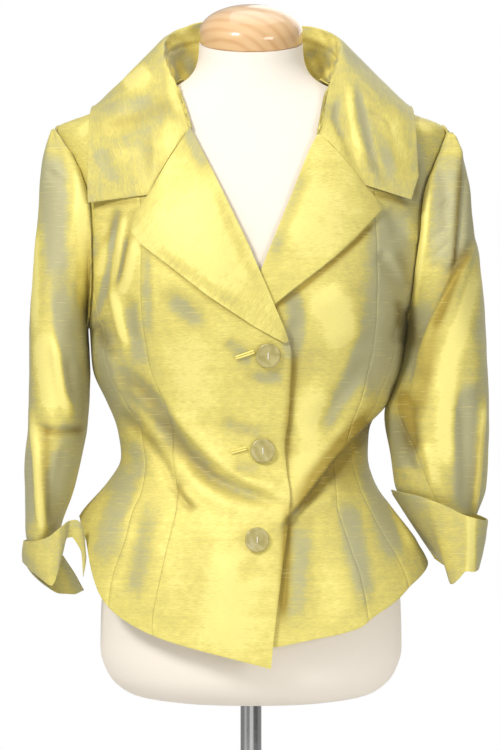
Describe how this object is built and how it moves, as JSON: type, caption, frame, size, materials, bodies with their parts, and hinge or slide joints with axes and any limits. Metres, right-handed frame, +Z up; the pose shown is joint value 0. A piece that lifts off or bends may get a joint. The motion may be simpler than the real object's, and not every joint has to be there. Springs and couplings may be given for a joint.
{
  "type": "blazer on a dress form",
  "caption": "Short fitted silk blazer with a standing notched collar, flared peplum and split turned-back cuffs, worn by a limbless dress form on a pole and round foot",
  "frame": {"origin": "under the middle of the foot, on the surface that the form stands on", "axes": "+Z up, -Y the front of the blazer, -X the wearer's right, which is the viewer's left"},
  "size_m": [0.4865, 0.3, 0.9446],
  "materials": {
    "silk": "crisp chartreuse dupioni silk, shot with grey-lavender, with fine level slubs and a soft metallic sheen",
    "jersey": "matt cream cotton jersey stretched over the form",
    "wood": "honey-coloured varnished wood with grain bands",
    "chrome": "polished chrome",
    "button": "polished khaki shell with pearly bands",
    "thread": "cream sewing thread"
  },
  "bodies": {
    "root": {"front_centre_right": "silk", "front_centre_left": "silk", "front_side_right": "silk", "front_side_left": "silk", "underarm_right": "silk", "underarm_left": "silk", "back_right": "silk", "back_left": "silk", "lapel_right": "silk", "lapel_left": "silk", "collar": "silk", "sleeve_upper_right": "silk", "sleeve_upper_left": "silk", "sleeve_under_right": "silk", "sleeve_under_left": "silk", "cuff_right": "silk", "cuff_left": "silk", "buttonhole_1": "silk", "buttonhole_2": "silk", "button_1": "button", "button_2": "button", "button_3": "button", "button_thread_1": "thread", "button_thread_2": "thread", "button_thread_3": "thread", "form_torso": "jersey", "neck_cap": "wood", "pole": "chrome", "base": "chrome"}
  },
  "joints": []
}
